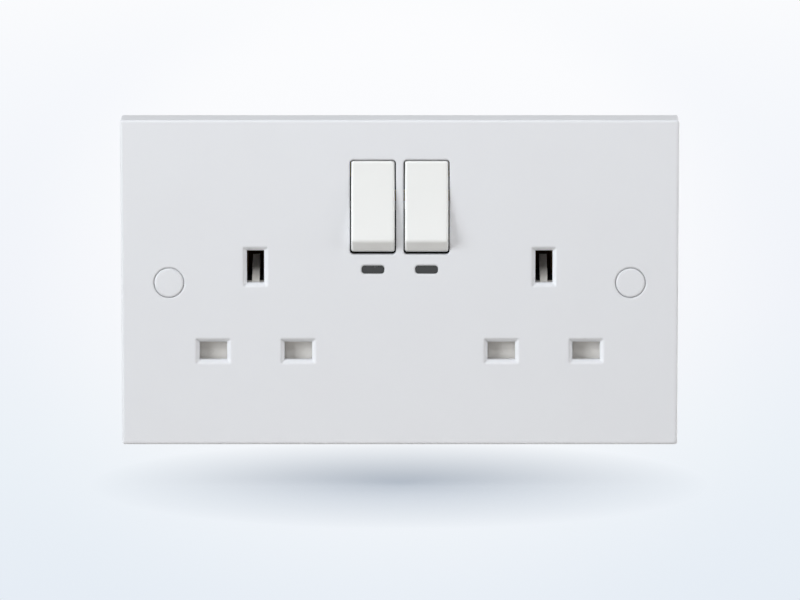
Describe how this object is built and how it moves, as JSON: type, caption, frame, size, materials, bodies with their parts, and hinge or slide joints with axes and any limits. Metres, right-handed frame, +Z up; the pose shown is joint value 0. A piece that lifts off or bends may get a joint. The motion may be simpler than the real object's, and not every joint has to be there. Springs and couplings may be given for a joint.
{
  "type": "uk twin socket",
  "caption": "White square-edged wall socket with paired outlets, rocker switches, indicator lenses, shuttered pin slots, capped fixing screws and a dark rear housing.",
  "frame": {"origin": "midway between the fixing screws, on the wall plane at the back of the front plate", "axes": "+X to the right as one faces the socket, +Y into the wall, +Z up"},
  "size_m": [0.146, 0.0337, 0.086],
  "materials": {
    "white_moulding": "smooth white moulding with a soft shine",
    "rocker_moulding": "smooth white moulding, a little brighter than the plate",
    "shutter_moulding": "plain pale moulding",
    "black_moulding": "black moulding with a fine grain",
    "plunger_moulding": "pale grey slippery moulding",
    "lens": "dark smoky lens, flush and smooth",
    "lamp_glass": "clear glass",
    "resistor": "tan lacquer",
    "tinned_wire": "dull tinned wire",
    "brass": "pressed brass strip",
    "terminal_brass": "machined brass",
    "screw_steel": "bright zinc plate",
    "spring_steel": "drawn spring wire"
  },
  "bodies": {
    "socket": {"earth_bar": "brass", "earth_strap_left": "brass", "earth_strap_right": "brass", "fixing_screws": "screw_steel", "front_plate": "white_moulding", "housing_screws": "screw_steel", "indicator_lens_left": "lens", "indicator_lens_right": "lens", "live_bar": "brass", "live_contact_left": "brass", "live_contact_right": "brass", "neon_lamp_left": "lamp_glass", "neon_lamp_right": "lamp_glass", "neon_lead_left": "tinned_wire", "neon_lead_right": "tinned_wire", "neon_resistor_left": "resistor", "neon_resistor_right": "resistor", "neutral_bar": "brass", "rear_housing": "black_moulding", "screw_cap_left": "white_moulding", "screw_cap_right": "white_moulding", "shutter_spring_left": "spring_steel", "shutter_spring_right": "spring_steel", "terminal_earth_left": "terminal_brass", "terminal_earth_right": "terminal_brass", "terminal_live": "terminal_brass", "terminal_neutral": "terminal_brass", "terminal_screws": "screw_steel"},
    "rocker_left": {"rocker_left": "rocker_moulding", "rocker_spring_left": "spring_steel"},
    "plunger_left": {"rocker_plunger_left": "plunger_moulding"},
    "seesaw_left": {"switch_contact_left": "brass"},
    "shutter_left": {"shutter_left": "shutter_moulding"},
    "rocker_right": {"rocker_right": "rocker_moulding", "rocker_spring_right": "spring_steel"},
    "plunger_right": {"rocker_plunger_right": "plunger_moulding"},
    "seesaw_right": {"switch_contact_right": "brass"},
    "shutter_right": {"shutter_right": "shutter_moulding"}
  },
  "joints": [
    {"name": "rocker_left_tilt", "type": "hinge", "parent": "socket", "child": "rocker_left", "pos_m": [-0.007, -0.0056, 0.0199], "axis": [1, 0, 0], "range_deg": [0, 16]},
    {"name": "seesaw_left_tilt", "type": "hinge", "parent": "socket", "child": "seesaw_left", "pos_m": [-0.007, 0.00598, 0.0199], "axis": [1, 0, 0], "range_deg": [-22, 0]},
    {"name": "plunger_left_press", "type": "slide", "parent": "rocker_left", "child": "plunger_left", "axis": [0, -0.9903, 0.1392], "range_m": [0, 0.0008], "stiffness_N_per_m": 400, "springref_m": -0.002, "deforming": ["rocker_spring_left"]},
    {"name": "shutter_left_drop", "type": "slide", "parent": "socket", "child": "shutter_left", "axis": [0, 0, -1], "range_m": [0, 0.006], "stiffness_N_per_m": 60, "springref_m": -0.008, "deforming": ["shutter_spring_left"]},
    {"name": "rocker_right_tilt", "type": "hinge", "parent": "socket", "child": "rocker_right", "pos_m": [0.007, -0.0056, 0.0199], "axis": [1, 0, 0], "range_deg": [0, 16]},
    {"name": "seesaw_right_tilt", "type": "hinge", "parent": "socket", "child": "seesaw_right", "pos_m": [0.007, 0.00598, 0.0199], "axis": [1, 0, 0], "range_deg": [-22, 0]},
    {"name": "plunger_right_press", "type": "slide", "parent": "rocker_right", "child": "plunger_right", "axis": [0, -0.9903, 0.1392], "range_m": [0, 0.0008], "stiffness_N_per_m": 400, "springref_m": -0.002, "deforming": ["rocker_spring_right"]},
    {"name": "shutter_right_drop", "type": "slide", "parent": "socket", "child": "shutter_right", "axis": [0, 0, -1], "range_m": [0, 0.006], "stiffness_N_per_m": 60, "springref_m": -0.008, "deforming": ["shutter_spring_right"]}
  ],
  "couplings": [
    {"joint": "seesaw_left_tilt", "follows": "rocker_left_tilt", "ratio": -1.375},
    {"joint": "seesaw_right_tilt", "follows": "rocker_right_tilt", "ratio": -1.375}
  ]
}
